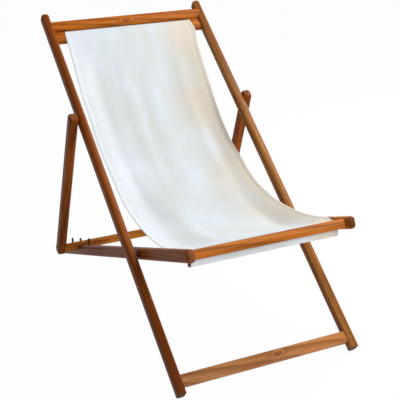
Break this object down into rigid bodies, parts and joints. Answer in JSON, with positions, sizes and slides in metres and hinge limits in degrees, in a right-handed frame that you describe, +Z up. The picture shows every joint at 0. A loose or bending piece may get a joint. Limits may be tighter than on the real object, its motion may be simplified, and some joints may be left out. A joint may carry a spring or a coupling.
{
  "type": "folding sling deck chair",
  "caption": "Folding wooden deck chair: a back frame and a seat frame crossed on a pivot, a prop frame resting against pegs, and a loose canvas sling hung between them.",
  "frame": {"origin": "on the floor, below the middle of the chair's box", "axes": "+Z up, -Y the way the sitter faces, +X across the chair, to the left of a person who stands behind it facing -Y"},
  "size_m": [0.6258, 1.2, 0.8822],
  "materials": {
    "oiled_hardwood": "oiled, satin",
    "dark_dowel": "stained, matte",
    "dark_bronze": "dark bronze, satin",
    "brown_nylon": "matte",
    "canvas": "plain woven cotton, matte"
  },
  "bodies": {
    "back_frame": {"back_rail_left": "oiled_hardwood", "back_rail_right": "oiled_hardwood", "head_rail": "oiled_hardwood", "head_slat": "oiled_hardwood", "foot_board": "oiled_hardwood", "back_frame_pins": "dark_dowel", "seat_pivot_bolts": "dark_bronze", "seat_pivot_spacers": "brown_nylon", "seat_pivot_washers": "dark_bronze", "seat_pivot_nuts": "dark_bronze", "prop_pivot_bolts": "dark_bronze", "prop_pivot_spacers": "brown_nylon", "prop_pivot_washers": "dark_bronze", "prop_pivot_nuts": "dark_bronze", "seat_pivot_plugs": "oiled_hardwood", "prop_pivot_inner_plugs": "oiled_hardwood", "sling": "canvas", "sling_top_rod": "dark_dowel"},
    "seat_frame": {"seat_rail_left": "oiled_hardwood", "seat_rail_right": "oiled_hardwood", "front_rail": "oiled_hardwood", "front_slat": "oiled_hardwood", "rear_rail": "oiled_hardwood", "seat_frame_pins": "dark_dowel", "recline_pegs_left": "dark_dowel", "recline_pegs_right": "dark_dowel", "sling_front_rod": "dark_dowel"},
    "prop_frame": {"prop_leg_left": "oiled_hardwood", "prop_leg_right": "oiled_hardwood", "prop_crossbar": "oiled_hardwood", "prop_frame_pins": "dark_dowel", "prop_pivot_outer_plugs": "oiled_hardwood"}
  },
  "joints": [
    {"name": "seat_fold", "type": "hinge", "parent": "back_frame", "child": "seat_frame", "pos_m": [0, -0.25334, 0.28866], "axis": [-1, 0, 0], "range_deg": [0, 110], "deforming": ["sling"]},
    {"name": "prop_fold", "type": "hinge", "parent": "back_frame", "child": "prop_frame", "pos_m": [0, 0.09775, 0.60038], "axis": [-1, 0, 0], "range_deg": [0, 68]}
  ],
  "couplings": [
    {"joint": "prop_fold", "follows": "seat_fold", "ratio": 0.617}
  ]
}
